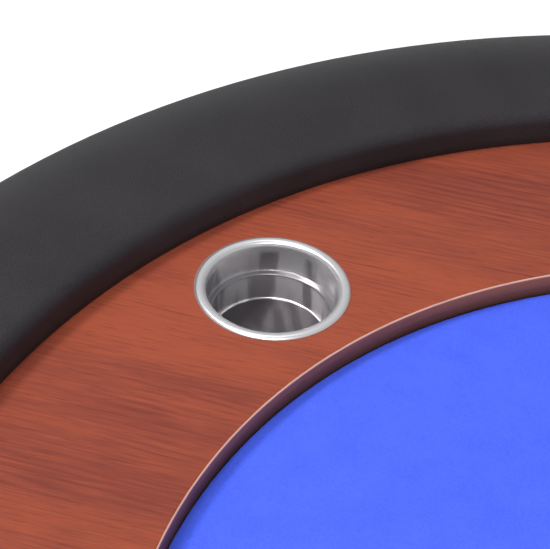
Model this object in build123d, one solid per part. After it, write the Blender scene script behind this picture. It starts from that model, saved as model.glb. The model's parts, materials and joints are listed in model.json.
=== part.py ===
from build123d import *
import math
import os

# An oval casino table: a felt playing surface sunk in a veneered racetrack, ten drop-in cups,
# a padded armrest rail round the outside, and two leg frames that fold flat under the top.
# Frame: X along the table, Y across it, Z up, origin on the floor under the middle of the top.
# All sizes are in millimetres.

CUT_PAST = 1.0  # how far a cutter runs past the face it cuts

# ---------------------------------------------------------------- the top
TABLE_LENGTH = 2080.0
TABLE_WIDTH = 1060.0
RACETRACK_HEIGHT = 755.0  # floor to the racetrack's top face
RAIL_WIDTH = 106.0  # in plan, outer edge to inner foot
RACETRACK_WIDTH = 117.0  # the strip that shows, rail foot to inner edge
BASE_THICKNESS = 15.0
RACETRACK_THICKNESS = 15.0
EDGE_BAND_THICKNESS = 1.0
UNDERLAY_THICKNESS = 1.0
FELT_THICKNESS = 0.8
FELT_GAP = 0.4  # felt edge to edge band

END_RADIUS = TABLE_WIDTH / 2
END_CENTRE = TABLE_LENGTH / 2 - END_RADIUS  # distance from the middle to each end's centre
RAIL_FOOT_RADIUS = END_RADIUS - RAIL_WIDTH
WELL_RADIUS = RAIL_FOOT_RADIUS - RACETRACK_WIDTH  # edge of the sunk playing area
BASE_TOP = RACETRACK_HEIGHT - RACETRACK_THICKNESS
UNDERSIDE = BASE_TOP - BASE_THICKNESS
FELT_TOP = BASE_TOP + UNDERLAY_THICKNESS + FELT_THICKNESS

# ---------------------------------------------------------------- the padded rail
COVER_THICKNESS = 1.0
SIDE_PADDING = 5.0  # foam between the boards' edge and the cover
CORNER_RADIUS = 9.0  # inner top corner of the padding
CORNER_SLOPE = 12.0  # degrees, where the corner meets the crown
ROLL_RADIUS = 17.0  # outer roll of the padding
ROLL_SLOPE = 25.0  # degrees, where the crown meets the roll
ROLL_DROP = 3.3  # centre of the outer roll below the racetrack's top
INNER_FLAP = 14.0  # cover tucked under the rail core
OUTER_FLAP = 26.0  # cover tucked under the base board
CORE_THICKNESS = 9.0
CORE_INNER_SETBACK = 6.0  # core's inner edge behind the rail's inner face
CORE_ROLL_SETBACK = 1.0  # core's outer edge inside the middle of the roll
BOARD_RADIUS = END_RADIUS - COVER_THICKNESS - SIDE_PADDING
CORE_INNER_RADIUS = RAIL_FOOT_RADIUS + CORE_INNER_SETBACK
CORE_OUTER_RADIUS = END_RADIUS - ROLL_RADIUS - CORE_ROLL_SETBACK
CORE_BOTTOM = RACETRACK_HEIGHT + COVER_THICKNESS
CORE_TOP = CORE_BOTTOM + CORE_THICKNESS

# ---------------------------------------------------------------- the cups
CUP_COUNT = 10
CUP_BORE_RADIUS = 35.8
CUP_LEDGE_WIDTH = 3.5
CUP_WALL = 0.7
CUP_DEPTH = 36.0  # racetrack top to the underside of the cup
CUP_LEDGE_DEPTH = 18.0
CUP_LIP_RADIUS = 3.5
CUP_LIP_RISE = 2.0
CUP_LEDGE_FILLET = 1.5
CUP_FLOOR_FILLET = 2.2
CUP_HOLE_CLEARANCE = 0.5
CUP_HOLE_RADIUS = CUP_BORE_RADIUS + CUP_WALL + CUP_HOLE_CLEARANCE
CUP_LOWER_RADIUS = CUP_BORE_RADIUS - CUP_LEDGE_WIDTH
CUP_LINE_RADIUS = (RAIL_FOOT_RADIUS + WELL_RADIUS) / 2  # middle of the racetrack
LAP = 2 * math.pi * CUP_LINE_RADIUS + 4 * END_CENTRE  # once round the cups' line
END_CUP_ANGLE = LAP / CUP_COUNT / 2 / CUP_LINE_RADIUS
END_CUP_X = END_CENTRE + CUP_LINE_RADIUS * math.cos(END_CUP_ANGLE)

# ---------------------------------------------------------------- fasteners
BOLT_RADIUS = 3.0
BOLT_CLEARANCE = 0.3
BOLT_HEAD_RADIUS = 5.8
BOLT_HEAD_HEIGHT = 4.0
BOLT_COUNT = 14
BOLT_END_GAP = 1.0  # bolt tip below the core's top
WASHER_RADIUS = 9.0
WASHER_THICKNESS = 1.5
TEE_NUT_RADIUS = 4.2
TEE_NUT_FLANGE_RADIUS = 9.0
TEE_NUT_FLANGE = 1.2
SCREW_RADIUS = 2.0
SCREW_HEAD_RADIUS = 4.0
SCREW_HEAD_DEPTH = 2.2
BOARD_SCREW_LENGTH = 25.0
BOARD_SCREW_INSET = 15.0  # from the well's edge, and outside the rail's foot
FITTING_SCREW_LENGTH = 25.0

# ---------------------------------------------------------------- under the top
CLEAT_THICKNESS = 12.0
CLEAT_WIDTH = 88.0
CLEAT_CUP_GAP = 12.5  # in plan, cleat to the end cups' seats
CLEAT_OVERHANG = 22.0  # cleat past the bushes
SLAT_WIDTH = 60.0
SLAT_END_GAP = 20.0  # slat end to cleat
SLAT_PAD_GAP = 12.0
PAD_LENGTH = 64.0
PAD_WIDTH = 44.0

# ---------------------------------------------------------------- the leg frames
POST_CUP_GAP = 38.5  # in plan, middle of a post to the side cups' seats
POST_RADIUS = 14.0
TUBE_WALL = 1.5
HINGE_TUBE_RADIUS = 12.7
STRETCHER_RADIUS = 11.0
STRETCHER_DROP = 500.0  # below the hinge axis
BUSH_THICKNESS = 3.4
BUSH_WIDTH = 30.0
BUSH_GAP = 14.0  # post to bush
RUNNING_CLEARANCE = 0.05
FOLD_CLEARANCE = 0.5  # at least, between a folded post and the cleat
STRAP_THICKNESS = 2.5
STRAP_FLANGE = 22.0
CAP_LENGTH = 5.0
CAP_OVERHANG = 4.0  # hinge tube past the bush
FOOT_WALL = 4.0
FOOT_HEIGHT = 34.0
FOOT_SOLE = 7.0
FOOT_CHAMFER = 2.0

FOOT_RADIUS = POST_RADIUS + FOOT_WALL
BUSH_RADIUS = HINGE_TUBE_RADIUS + RUNNING_CLEARANCE + BUSH_THICKNESS
CLEAT_UNDERSIDE = UNDERSIDE - CLEAT_THICKNESS
AXIS_HEIGHT = CLEAT_UNDERSIDE - max(BUSH_RADIUS + RUNNING_CLEARANCE, POST_RADIUS + FOLD_CLEARANCE)
HINGE_X = END_CUP_X - CUP_HOLE_RADIUS - CLEAT_CUP_GAP - CLEAT_WIDTH / 2
POST_Y = CUP_LINE_RADIUS - CUP_HOLE_RADIUS - POST_CUP_GAP
BUSH_Y = POST_Y + POST_RADIUS + BUSH_GAP + BUSH_WIDTH / 2
HINGE_TUBE_HALF = BUSH_Y + BUSH_WIDTH / 2 + CAP_OVERHANG
CLEAT_HALF = BUSH_Y + BUSH_WIDTH / 2 + CLEAT_OVERHANG

# ---------------------------------------------------------------- the folding braces
ANCHOR_REACH = 250.0  # hinge axis to the brace's pivot under the top
BRACE_DROP = 220.0  # hinge axis to the brace's pivot on the post
ARM_WIDTH = 20.0
ARM_THICKNESS = 4.0
SIDE_CLEARANCE = 0.4  # between a post, the two arms and the bracket
PIVOT_RADIUS = 3.0
RIVET_HEAD_RADIUS = 6.0
RIVET_HEAD_HEIGHT = 2.5
STOP_LUG_LENGTH = 14.0
STOP_LUG_THICKNESS = 3.0
STOP_LUG_REACH = 18.0  # knee to the middle of the lug
BRACKET_THICKNESS = 2.5
BRACKET_LENGTH = 52.0
BRACKET_FLANGE = 26.0

BRACE_SPAN = math.hypot(ANCHOR_REACH, BRACE_DROP)
UPPER_ARM = (BRACE_SPAN + abs(ANCHOR_REACH - BRACE_DROP)) / 2  # these two lengths let the brace
LOWER_ARM = BRACE_SPAN - UPPER_ARM  # lie straight both open and folded
BRACE_ANGLE = math.degrees(math.atan2(BRACE_DROP, ANCHOR_REACH))
LOWER_ARM_Y = POST_Y - POST_RADIUS - SIDE_CLEARANCE - ARM_THICKNESS / 2
UPPER_ARM_Y = LOWER_ARM_Y - ARM_THICKNESS - SIDE_CLEARANCE
BRACKET_Y = UPPER_ARM_Y - ARM_THICKNESS / 2 - SIDE_CLEARANCE - BRACKET_THICKNESS / 2
PAD_Y = BRACKET_Y + BRACKET_THICKNESS / 2 - BRACKET_FLANGE / 2
SLAT_Y = PAD_Y - PAD_WIDTH / 2 - SLAT_PAD_GAP - SLAT_WIDTH / 2

# ---------------------------------------------------------------- clips for the folded legs
CLIP_REACH = 420.0  # hinge axis to the clip
CLIP_LENGTH = 24.0
CLIP_WALL = 4.0
CLIP_ROUNDING = 1.3
CLIP_CLEARANCE = 0.6
CLIP_ARM_BELOW_AXIS = 6.0

CLIP_X = HINGE_X - CLIP_REACH
CLIP_TOP = AXIS_HEIGHT + POST_RADIUS + CLIP_CLEARANCE  # roof of the cradle


def box_between(low, high):
    """A box from its lowest corner to its highest."""
    size = [b - a for a, b in zip(low, high)]
    middle = [(a + b) / 2 for a, b in zip(low, high)]
    return Pos(*middle) * Box(*size)


def cylinder_up(x, y, bottom, top, radius):
    """An upright cylinder between two heights."""
    return Pos(x, y, (bottom + top) / 2) * Cylinder(radius, top - bottom)


def cylinder_across(x, z, y_from, y_to, radius):
    """A cylinder along Y between two places."""
    middle = Pos(x, (y_from + y_to) / 2, z)
    return middle * Rot(X=90) * Cylinder(radius, abs(y_to - y_from))


def tube_across(x, z, y_from, y_to, radius, wall):
    """A tube along Y between two places."""
    outside = cylinder_across(x, z, y_from, y_to, radius)
    return outside - cylinder_across(x, z, y_from, y_to, radius - wall)


def group(shapes):
    """Several solids that share one node."""
    return Compound(children=[solid for shape in shapes for solid in shape.solids()])


def oval_plate(radius, bottom, top):
    """A plate whose outline is the table's oval, with ends of the given radius."""
    outline = SlotCenterToCenter(2 * END_CENTRE, 2 * radius)
    return Pos(0, 0, bottom) * extrude(outline, top - bottom)


def oval_ring(section):
    """A section, drawn with radius along X and height along Y, carried round the table's oval."""
    upright = Plane.XZ * section
    end = revolve(Rot(Z=-90) * upright, Axis.Z, revolution_arc=180)
    side = Pos(-END_CENTRE, 0, 0) * extrude(Rot(Z=90) * upright, amount=2 * END_CENTRE, dir=(1, 0, 0))
    right_half = Pos(END_CENTRE, 0, 0) * end
    return right_half + side + Rot(Z=180) * right_half + Rot(Z=180) * side


def oval_place(share, radius):
    """A place on the oval of the given radius, a share of a lap from the right-hand tip."""
    half_laps, along = divmod(share * LAP, LAP / 2)
    quarter = math.pi * CUP_LINE_RADIUS / 2
    side = min(max(along - quarter, 0), 2 * END_CENTRE)
    turned = (along - side) / CUP_LINE_RADIUS
    place = Vector(END_CENTRE - side, 0, 0) + Vector(radius, 0, 0).rotate(Axis.Z, math.degrees(turned))
    return place.rotate(Axis.Z, 180 * half_laps)


# ---------------------------------------------------------------- boards and cloth


def cup_points():
    """The cups' middles, spaced evenly round the middle line of the racetrack."""
    return [oval_place((index + 0.5) / CUP_COUNT, CUP_LINE_RADIUS) for index in range(CUP_COUNT)]


def cup_holes():
    """Cutters for the cups' seats, right through both boards."""
    low, high = UNDERSIDE - CUT_PAST, RACETRACK_HEIGHT + CUT_PAST
    return [cylinder_up(p.X, p.Y, low, high, CUP_HOLE_RADIUS) for p in cup_points()]


def make_base_board():
    """The panel that carries everything, with seats for the cups and holes for the fasteners."""
    board = oval_plate(BOARD_RADIUS, UNDERSIDE, BASE_TOP)
    return board - cup_holes() - bolt_holes() - board_screws() - fitting_screws()


def make_racetrack_board():
    """The veneered ring between the rail and the playing area."""
    board = oval_plate(BOARD_RADIUS, BASE_TOP, RACETRACK_HEIGHT)
    well = oval_plate(WELL_RADIUS + EDGE_BAND_THICKNESS, BASE_TOP - CUT_PAST, RACETRACK_HEIGHT + CUT_PAST)
    return board - well - cup_holes() - bolt_holes() - board_screws()


def make_edge_band():
    """The thin strip glued to the racetrack's inner edge."""
    band = oval_plate(WELL_RADIUS + EDGE_BAND_THICKNESS, BASE_TOP, RACETRACK_HEIGHT)
    return band - oval_plate(WELL_RADIUS, BASE_TOP - CUT_PAST, RACETRACK_HEIGHT + CUT_PAST)


def make_underlay():
    """The thin foam sheet under the felt."""
    return oval_plate(WELL_RADIUS - FELT_GAP, BASE_TOP, BASE_TOP + UNDERLAY_THICKNESS)


def make_felt():
    """The playing cloth."""
    return oval_plate(WELL_RADIUS - FELT_GAP, BASE_TOP + UNDERLAY_THICKNESS, FELT_TOP)


# ---------------------------------------------------------------- rail


def rail_outline(inset):
    """The rail's padded section, with every face moved inwards by inset."""
    slope_in, slope_out = math.radians(CORNER_SLOPE), math.radians(ROLL_SLOPE)
    corner_x = RAIL_FOOT_RADIUS + CORNER_RADIUS
    roll = (END_RADIUS - ROLL_RADIUS, RACETRACK_HEIGHT - ROLL_DROP)
    crown_from = corner_x - CORNER_RADIUS * math.sin(slope_in)
    crown_to = roll[0] + ROLL_RADIUS * math.sin(slope_out)
    crown_radius = (crown_to - crown_from) / (math.sin(slope_in) + math.sin(slope_out))
    reach = crown_radius - ROLL_RADIUS
    crown = (roll[0] - reach * math.sin(slope_out), roll[1] - reach * math.cos(slope_out))
    corner_z = crown[1] + (crown_radius - CORNER_RADIUS) * math.cos(slope_in)
    inner_x, outer_x = RAIL_FOOT_RADIUS + inset, END_RADIUS - inset
    bottom = UNDERSIDE - COVER_THICKNESS + inset
    return make_face(
        [
            Line((inner_x, bottom), (inner_x, corner_z)),
            CenterArc((corner_x, corner_z), CORNER_RADIUS - inset, 180, CORNER_SLOPE - 90),
            CenterArc(crown, crown_radius - inset, 90 + CORNER_SLOPE, -CORNER_SLOPE - ROLL_SLOPE),
            CenterArc(roll, ROLL_RADIUS - inset, 90 - ROLL_SLOPE, ROLL_SLOPE - 90),
            Line((outer_x, roll[1]), (outer_x, bottom)),
            Line((outer_x, bottom), (inner_x, bottom)),
        ]
    )


def section_box(x_from, x_to, z_from, z_to):
    """A rectangle in a section: radius along X, height along Y."""
    middle = Pos((x_from + x_to) / 2, (z_from + z_to) / 2)
    return middle * Rectangle(x_to - x_from, z_to - z_from)


def core_section():
    """The rail's wooden core, which stands on the tucked edge of the cover."""
    return section_box(CORE_INNER_RADIUS, CORE_OUTER_RADIUS, CORE_BOTTOM, CORE_TOP)


def inner_flap_section():
    """The cover's inner edge, folded under the core."""
    foot = RAIL_FOOT_RADIUS
    return section_box(foot, foot + INNER_FLAP, RACETRACK_HEIGHT, RACETRACK_HEIGHT + COVER_THICKNESS)


def boards_section():
    """The space of the boards under and inside the rail."""
    return section_box(RAIL_FOOT_RADIUS - CUT_PAST, BOARD_RADIUS, UNDERSIDE, RACETRACK_HEIGHT)


def make_rail_cover():
    """The artificial leather, from under the core, over the padding and round under the base board."""
    skin = rail_outline(0) - rail_outline(COVER_THICKNESS)
    unused = section_box(
        RAIL_FOOT_RADIUS - CUT_PAST,
        END_RADIUS - OUTER_FLAP,
        UNDERSIDE - COVER_THICKNESS - CUT_PAST,
        RACETRACK_HEIGHT,
    )
    return oval_ring(skin - boards_section() - unused + inner_flap_section())


def make_rail_foam():
    """The foam over the core and down the boards' edge."""
    gap_under_core = section_box(CORE_INNER_RADIUS, CORE_OUTER_RADIUS, RACETRACK_HEIGHT, CORE_BOTTOM)
    below = section_box(
        RAIL_FOOT_RADIUS - CUT_PAST,
        BOARD_RADIUS,
        UNDERSIDE - COVER_THICKNESS - CUT_PAST,
        RACETRACK_HEIGHT,
    )
    section = rail_outline(COVER_THICKNESS) - below - core_section() - inner_flap_section() - gap_under_core
    return oval_ring(section)


def make_rail_core():
    """The wooden ring inside the rail, with pockets for the tee nuts."""
    core = oval_ring(core_section())
    above = CORE_TOP + CUT_PAST
    for p in bolt_points():
        core -= cylinder_up(p.X, p.Y, CORE_BOTTOM - CUT_PAST, above, TEE_NUT_RADIUS)
        core -= cylinder_up(p.X, p.Y, CORE_TOP - TEE_NUT_FLANGE, above, TEE_NUT_FLANGE_RADIUS)
    return core


# ---------------------------------------------------------------- fasteners


def bolt_points():
    """Where the rail's bolts come up through the boards, along the middle of the core."""
    radius = (CORE_INNER_RADIUS + CORE_OUTER_RADIUS) / 2
    return [oval_place(index / BOLT_COUNT, radius) for index in range(BOLT_COUNT)]


def bolt_holes():
    """Cutters for the rail bolts' holes in both boards."""
    radius = BOLT_RADIUS + BOLT_CLEARANCE
    low, high = UNDERSIDE - CUT_PAST, RACETRACK_HEIGHT + CUT_PAST
    return [cylinder_up(p.X, p.Y, low, high, radius) for p in bolt_points()]


def make_rail_bolts():
    """Hexagon bolts from below into the tee nuts."""
    head_top = UNDERSIDE - WASHER_THICKNESS
    tip = CORE_TOP - BOLT_END_GAP
    bolts = []
    for p in bolt_points():
        hexagon = Pos(p.X, p.Y, head_top - BOLT_HEAD_HEIGHT) * RegularPolygon(BOLT_HEAD_RADIUS, 6)
        shank = cylinder_up(p.X, p.Y, head_top, tip, BOLT_RADIUS)
        bolts.append(extrude(hexagon, BOLT_HEAD_HEIGHT) + shank)
    return group(bolts)


def make_rail_washers():
    """Plain washers under the bolt heads."""
    low = UNDERSIDE - WASHER_THICKNESS
    hole_radius = BOLT_RADIUS + BOLT_CLEARANCE
    washers = []
    for p in bolt_points():
        disc = cylinder_up(p.X, p.Y, low, UNDERSIDE, WASHER_RADIUS)
        washers.append(disc - cylinder_up(p.X, p.Y, low - CUT_PAST, UNDERSIDE + CUT_PAST, hole_radius))
    return group(washers)


def make_tee_nuts():
    """Tee nuts let into the core from above."""
    nuts = []
    for p in bolt_points():
        nut = cylinder_up(p.X, p.Y, CORE_BOTTOM, CORE_TOP, TEE_NUT_RADIUS)
        nut += cylinder_up(p.X, p.Y, CORE_TOP - TEE_NUT_FLANGE, CORE_TOP, TEE_NUT_FLANGE_RADIUS)
        nuts.append(nut - cylinder_up(p.X, p.Y, CORE_BOTTOM - CUT_PAST, CORE_TOP + CUT_PAST, BOLT_RADIUS))
    return group(nuts)


def screw_up(x, y, bottom, length):
    """A countersunk wood screw driven upwards, its head flush at the bottom."""
    cone = Cone(SCREW_HEAD_RADIUS, SCREW_RADIUS, SCREW_HEAD_DEPTH)
    head = Pos(x, y, bottom + SCREW_HEAD_DEPTH / 2) * cone
    return head + cylinder_up(x, y, bottom, bottom + length, SCREW_RADIUS)


def board_screws():
    """Screws that hold the racetrack down, in two rows between the cups, from under the base board."""
    rows = (WELL_RADIUS + BOARD_SCREW_INSET, RAIL_FOOT_RADIUS + BOARD_SCREW_INSET)
    points = [oval_place(index / CUP_COUNT, radius) for radius in rows for index in range(CUP_COUNT)]
    return [screw_up(p.X, p.Y, UNDERSIDE, BOARD_SCREW_LENGTH) for p in points]


def mirrored(shapes):
    """The shapes of the right-hand end and their mirror images at the left-hand end."""
    return shapes + [mirror(shape, about=Plane.YZ) for shape in shapes]


def both_sides(shape):
    """A shape on the +Y side and its mirror image on the -Y side."""
    return [shape, mirror(shape, about=Plane.XZ)]


def fitting_screws():
    """Screws through the hinge straps, brace brackets and leg clips, at both ends."""
    strap_reach = BUSH_RADIUS + STRAP_THICKNESS + STRAP_FLANGE / 2
    anchor_x = HINGE_X - ANCHOR_REACH
    bracket_reach = BRACKET_LENGTH / 3
    places = [
        (HINGE_X - strap_reach, BUSH_Y, CLEAT_UNDERSIDE - STRAP_THICKNESS),
        (HINGE_X + strap_reach, BUSH_Y, CLEAT_UNDERSIDE - STRAP_THICKNESS),
        (anchor_x - bracket_reach, PAD_Y, CLEAT_UNDERSIDE - BRACKET_THICKNESS),
        (anchor_x + bracket_reach, PAD_Y, CLEAT_UNDERSIDE - BRACKET_THICKNESS),
        (CLIP_X, POST_Y, CLIP_TOP),
    ]
    screws = []
    for place in places:
        screws += both_sides(screw_up(*place, FITTING_SCREW_LENGTH))
    return mirrored(screws)


# ---------------------------------------------------------------- cups


def cup_section():
    """Half of a cup's section: rolled lip, upper bore, ledge, lower bore and floor."""
    top = RACETRACK_HEIGHT
    floor, ledge = top - CUP_DEPTH + CUP_WALL, top - CUP_LEDGE_DEPTH
    lip_x, lip_z = CUP_BORE_RADIUS + CUP_LIP_RADIUS, top + CUP_LIP_RISE - CUP_LIP_RADIUS
    sink = CUP_LIP_RADIUS - CUP_LIP_RISE
    thin = CUP_LIP_RADIUS - CUP_WALL
    upper_end = math.degrees(math.asin(sink / CUP_LIP_RADIUS))
    under_end = math.degrees(math.asin(sink / thin))
    inside = FilletPolyline(
        (0, floor),
        (CUP_LOWER_RADIUS, floor),
        (CUP_LOWER_RADIUS, ledge),
        (CUP_BORE_RADIUS, ledge),
        (CUP_BORE_RADIUS, lip_z),
        radius=[CUP_FLOOR_FILLET, CUP_LEDGE_FILLET, CUP_LEDGE_FILLET],
    )
    outside = FilletPolyline(
        (0, floor - CUP_WALL),
        (CUP_LOWER_RADIUS + CUP_WALL, floor - CUP_WALL),
        (CUP_LOWER_RADIUS + CUP_WALL, ledge - CUP_WALL),
        (CUP_BORE_RADIUS + CUP_WALL, ledge - CUP_WALL),
        (CUP_BORE_RADIUS + CUP_WALL, lip_z),
        radius=[CUP_FLOOR_FILLET + CUP_WALL, CUP_LEDGE_FILLET - CUP_WALL, CUP_LEDGE_FILLET + CUP_WALL],
    )
    lip_over = CenterArc((lip_x, lip_z), CUP_LIP_RADIUS, 180, upper_end - 180)
    lip_under = CenterArc((lip_x, lip_z), thin, 180, under_end - 180)
    return make_face(
        [
            *inside.edges(),
            lip_over,
            Line(lip_over @ 1, lip_under @ 1),
            lip_under,
            *outside.edges(),
            Line((0, floor - CUP_WALL), (0, floor)),
        ]
    )


def make_cup():
    """One cup about the Z axis."""
    return revolve(Plane.XZ * cup_section(), Axis.Z)


# ---------------------------------------------------------------- under the top


def make_cleat():
    """The right-hand board that carries the hinge straps."""
    half = CLEAT_WIDTH / 2
    low = (HINGE_X - half, -CLEAT_HALF, CLEAT_UNDERSIDE)
    return box_between(low, (HINGE_X + half, CLEAT_HALF, UNDERSIDE)) - fitting_screws()


def make_slat(side):
    """A stiffening slat along the table, on the side given as +1 or -1."""
    reach = HINGE_X - CLEAT_WIDTH / 2 - SLAT_END_GAP
    middle = side * SLAT_Y
    low = (-reach, middle - SLAT_WIDTH / 2, CLEAT_UNDERSIDE)
    return box_between(low, (reach, middle + SLAT_WIDTH / 2, UNDERSIDE))


def make_brace_pads():
    """The two right-hand blocks that carry the brace brackets."""
    x = HINGE_X - ANCHOR_REACH
    low = (x - PAD_LENGTH / 2, PAD_Y - PAD_WIDTH / 2, CLEAT_UNDERSIDE)
    pad = box_between(low, (x + PAD_LENGTH / 2, PAD_Y + PAD_WIDTH / 2, UNDERSIDE))
    return group([shape - fitting_screws() for shape in both_sides(pad)])


def make_hinge_bushes():
    """The two right-hand nylon bushes the hinge tube turns in."""
    inner = HINGE_TUBE_RADIUS + RUNNING_CLEARANCE
    y_from, y_to = BUSH_Y - BUSH_WIDTH / 2, BUSH_Y + BUSH_WIDTH / 2
    bush = cylinder_across(HINGE_X, AXIS_HEIGHT, y_from, y_to, BUSH_RADIUS)
    bush -= cylinder_across(HINGE_X, AXIS_HEIGHT, y_from - CUT_PAST, y_to + CUT_PAST, inner)
    return group(both_sides(bush))


def make_hinge_straps():
    """The two right-hand steel straps round the bushes, screwed to the cleat."""
    rise = CLEAT_UNDERSIDE - AXIS_HEIGHT
    outer = BUSH_RADIUS + STRAP_THICKNESS
    flange = outer + STRAP_FLANGE
    hoop = Circle(outer) + section_box(-outer, outer, 0, rise)
    hoop += section_box(-flange, flange, rise - STRAP_THICKNESS, rise)
    hoop -= Circle(BUSH_RADIUS) + section_box(-BUSH_RADIUS, BUSH_RADIUS, 0, rise)
    hoop -= section_box(-outer - CUT_PAST, outer + CUT_PAST, rise, rise + outer)
    place = Pos(HINGE_X, BUSH_Y + BUSH_WIDTH / 2, AXIS_HEIGHT)
    strap = place * extrude(Plane.XZ * hoop, BUSH_WIDTH)
    return group([shape - fitting_screws() for shape in both_sides(strap)])


def make_brace_brackets():
    """The two right-hand angle brackets that hold the upper arms."""
    x = HINGE_X - ANCHOR_REACH
    web_from, web_to = BRACKET_Y - BRACKET_THICKNESS / 2, BRACKET_Y + BRACKET_THICKNESS / 2
    half = BRACKET_LENGTH / 2
    top = CLEAT_UNDERSIDE
    web = box_between((x - half, web_from, AXIS_HEIGHT - ARM_WIDTH / 2), (x + half, web_to, top))
    web = fillet(web.edges().filter_by(Axis.Y).group_by(Axis.Z)[0], ARM_WIDTH / 2)
    flange_low = (x - half, web_to - BRACKET_FLANGE, top - BRACKET_THICKNESS)
    bracket = web + box_between(flange_low, (x + half, web_to, top))
    bracket -= cylinder_across(x, AXIS_HEIGHT, web_from - CUT_PAST, web_to + CUT_PAST, PIVOT_RADIUS)
    return group([shape - fitting_screws() for shape in both_sides(bracket)])


def make_leg_clips():
    """Plastic cradles that hold the folded posts, both ends and both sides."""
    inner = POST_RADIUS + CLIP_CLEARANCE
    outer = inner + CLIP_WALL
    half = CLIP_LENGTH / 2
    bottom = AXIS_HEIGHT - CLIP_ARM_BELOW_AXIS
    block_low = (CLIP_X - half, POST_Y - outer, bottom)
    block = box_between(block_low, (CLIP_X + half, POST_Y + outer, UNDERSIDE))
    block = fillet(block.edges().filter_by(Axis.X).group_by(Axis.Z)[0], CLIP_ROUNDING)
    mouth_half = half + CUT_PAST
    mouth_low = (CLIP_X - mouth_half, POST_Y - inner, bottom - CUT_PAST)
    mouth = box_between(mouth_low, (CLIP_X + mouth_half, POST_Y + inner, CLIP_TOP))
    clips = mirrored(both_sides(block - mouth))
    return group([clip - fitting_screws() for clip in clips])


# ---------------------------------------------------------------- right leg frame


def make_hinge_tube():
    """The cross tube at the top of the leg frame, which turns in the bushes."""
    return tube_across(
        HINGE_X, AXIS_HEIGHT, -HINGE_TUBE_HALF, HINGE_TUBE_HALF, HINGE_TUBE_RADIUS, TUBE_WALL
    )


def make_tube_caps():
    """Plastic plugs in the hinge tube's ends."""
    plug = HINGE_TUBE_RADIUS - TUBE_WALL
    cap = cylinder_across(HINGE_X, AXIS_HEIGHT, HINGE_TUBE_HALF - CAP_LENGTH, HINGE_TUBE_HALF, plug)
    head_end = HINGE_TUBE_HALF + TUBE_WALL
    cap += cylinder_across(HINGE_X, AXIS_HEIGHT, HINGE_TUBE_HALF, head_end, HINGE_TUBE_RADIUS)
    return group(both_sides(cap))


def make_front_post():
    """The leg post on the -Y side, its top fitted round the hinge tube."""
    y = -POST_Y
    outside = cylinder_up(HINGE_X, y, FOOT_SOLE, AXIS_HEIGHT, POST_RADIUS)
    low, high = FOOT_SOLE - CUT_PAST, AXIS_HEIGHT + CUT_PAST
    post = outside - cylinder_up(HINGE_X, y, low, high, POST_RADIUS - TUBE_WALL)
    reach = (y - 2 * POST_RADIUS, y + 2 * POST_RADIUS)
    post -= cylinder_across(HINGE_X, AXIS_HEIGHT, *reach, HINGE_TUBE_RADIUS)
    post -= cylinder_across(HINGE_X, AXIS_HEIGHT - BRACE_DROP, *reach, PIVOT_RADIUS)
    return post


def make_stretcher():
    """The lower cross tube, its ends fitted round the posts."""
    height = AXIS_HEIGHT - STRETCHER_DROP
    tube = tube_across(HINGE_X, height, -POST_Y, POST_Y, STRETCHER_RADIUS, TUBE_WALL)
    for side in (-1, 1):
        tube -= cylinder_up(HINGE_X, side * POST_Y, 0, AXIS_HEIGHT, POST_RADIUS)
    return tube


def make_feet():
    """Plastic foot caps pushed over the posts' ends."""
    foot = cylinder_up(HINGE_X, POST_Y, 0, FOOT_HEIGHT, FOOT_RADIUS)
    foot = chamfer(foot.edges().filter_by(GeomType.CIRCLE), FOOT_CHAMFER)
    foot -= cylinder_up(HINGE_X, POST_Y, FOOT_SOLE, FOOT_HEIGHT + CUT_PAST, POST_RADIUS)
    return group(both_sides(foot))


# ---------------------------------------------------------------- right brace


def brace_knee():
    """The knee of the open brace, as X and Z."""
    along = math.radians(BRACE_ANGLE)
    anchor_x = HINGE_X - ANCHOR_REACH
    return anchor_x + UPPER_ARM * math.cos(along), AXIS_HEIGHT - UPPER_ARM * math.sin(along)


def arm_plate(x, z, length, extra, y):
    """A flat arm with round ends, from a pivot down the line of the open brace."""
    body = Pos((length + extra) / 2, 0) * SlotCenterToCenter(length + extra, ARM_WIDTH)
    bar = Pos(0, ARM_THICKNESS / 2, 0) * extrude(Plane.XZ * body, ARM_THICKNESS)
    return Pos(x, y, z) * Rot(Y=BRACE_ANGLE) * bar


def make_upper_arms():
    """The upper brace arms, with the lug past the knee that stops it when straight."""
    anchor_x = HINGE_X - ANCHOR_REACH
    knee_x, knee_z = brace_knee()
    lug_reach = STOP_LUG_REACH + STOP_LUG_LENGTH / 2 - ARM_WIDTH / 2
    arm = arm_plate(anchor_x, AXIS_HEIGHT, UPPER_ARM, lug_reach, UPPER_ARM_Y)
    lug_top = ARM_WIDTH / 2 + SIDE_CLEARANCE + STOP_LUG_THICKNESS
    lug = box_between(
        (STOP_LUG_REACH - STOP_LUG_LENGTH / 2, -ARM_THICKNESS / 2, 0),
        (STOP_LUG_REACH + STOP_LUG_LENGTH / 2, ARM_THICKNESS / 2, lug_top),
    )
    lug += box_between(
        (STOP_LUG_REACH - STOP_LUG_LENGTH / 2, -ARM_THICKNESS / 2, ARM_WIDTH / 2 + SIDE_CLEARANCE),
        (STOP_LUG_REACH + STOP_LUG_LENGTH / 2, ARM_THICKNESS * 1.5 + SIDE_CLEARANCE, lug_top),
    )
    arm += Pos(knee_x, UPPER_ARM_Y, knee_z) * Rot(Y=BRACE_ANGLE) * lug
    y_from, y_to = UPPER_ARM_Y - ARM_THICKNESS, UPPER_ARM_Y + ARM_THICKNESS
    arm -= cylinder_across(anchor_x, AXIS_HEIGHT, y_from, y_to, PIVOT_RADIUS + RUNNING_CLEARANCE)
    arm -= cylinder_across(knee_x, knee_z, y_from, y_to, PIVOT_RADIUS)
    return group(both_sides(arm))


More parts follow.
